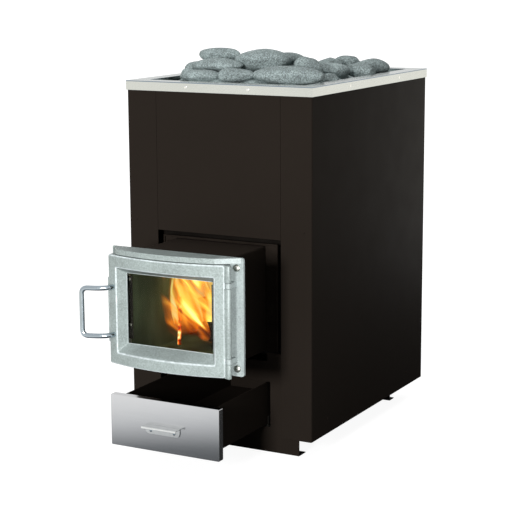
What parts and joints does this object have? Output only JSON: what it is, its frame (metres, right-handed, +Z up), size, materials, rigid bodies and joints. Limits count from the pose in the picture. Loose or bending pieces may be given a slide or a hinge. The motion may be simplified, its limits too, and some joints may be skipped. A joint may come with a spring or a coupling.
{
  "type": "wood-burning sauna stove",
  "caption": "Free-standing wood-burning sauna stove: dark sheet casing, bright rim over a box of stones, bowed cast door with a window on a long fire throat, ash drawer and rear flue.",
  "frame": {"origin": "on the floor under the middle of the stove's own box", "axes": "+X to the right seen from the door, +Y from the door towards the back, +Z up"},
  "size_m": [0.4336, 0.89, 0.8206],
  "materials": {
    "paint": "satin",
    "bright_sheet": "satin",
    "cast_door": "satin",
    "bar_steel": "polished",
    "black_steel": "matte",
    "cast_iron": "matte",
    "glass": "clear",
    "rope": "matte",
    "stone": "matte",
    "screw": "polished"
  },
  "bodies": {
    "stove": {"left_side_panel": "paint", "right_side_panel": "paint", "upper_front_plate": "paint", "lower_front_plate": "paint", "back_panel": "paint", "rear_foot_plate": "paint", "rim_front": "bright_sheet", "rim_rear": "bright_sheet", "rim_left": "bright_sheet", "rim_right": "bright_sheet", "throat_collar": "paint", "fire_throat": "paint", "firebox": "black_steel", "grate": "cast_iron", "ash_chamber": "black_steel", "runner_left": "black_steel", "runner_right": "black_steel", "smoke_box": "black_steel", "flue_spigot": "black_steel", "stone_box": "black_steel", "door_frame": "cast_door", "frame_screw_top": "screw", "frame_screw_bottom": "screw", "hinge_pin_bottom": "bar_steel", "hinge_pin_top": "bar_steel", "stone_bed": "stone", "stone_01": "stone", "stone_02": "stone", "stone_03": "stone", "stone_04": "stone", "stone_05": "stone", "stone_06": "stone", "stone_07": "stone", "stone_08": "stone", "stone_09": "stone", "stone_10": "stone", "stone_11": "stone", "stone_12": "stone", "stone_13": "stone", "stone_14": "stone", "stone_15": "stone", "stone_16": "stone", "stone_17": "stone", "stone_18": "stone", "stone_19": "stone", "stone_20": "stone", "stone_21": "stone"},
    "door": {"door_casting": "cast_door", "door_glass": "glass", "glass_gasket": "rope", "glass_strip_left": "black_steel", "glass_strip_right": "black_steel", "door_seal": "rope", "door_handle": "bar_steel"},
    "ash_drawer": {"drawer_box": "paint", "drawer_front": "bright_sheet", "drawer_pull": "bright_sheet"}
  },
  "joints": [
    {"name": "door_hinge", "type": "hinge", "parent": "stove", "child": "door", "pos_m": [0.1395, -0.39953, 0.323], "axis": [0, 0, 1], "range_deg": [0, 135]},
    {"name": "drawer_slide", "type": "slide", "parent": "stove", "child": "ash_drawer", "axis": [0, -1, 0], "range_m": [-0.213, 0.12]}
  ]
}
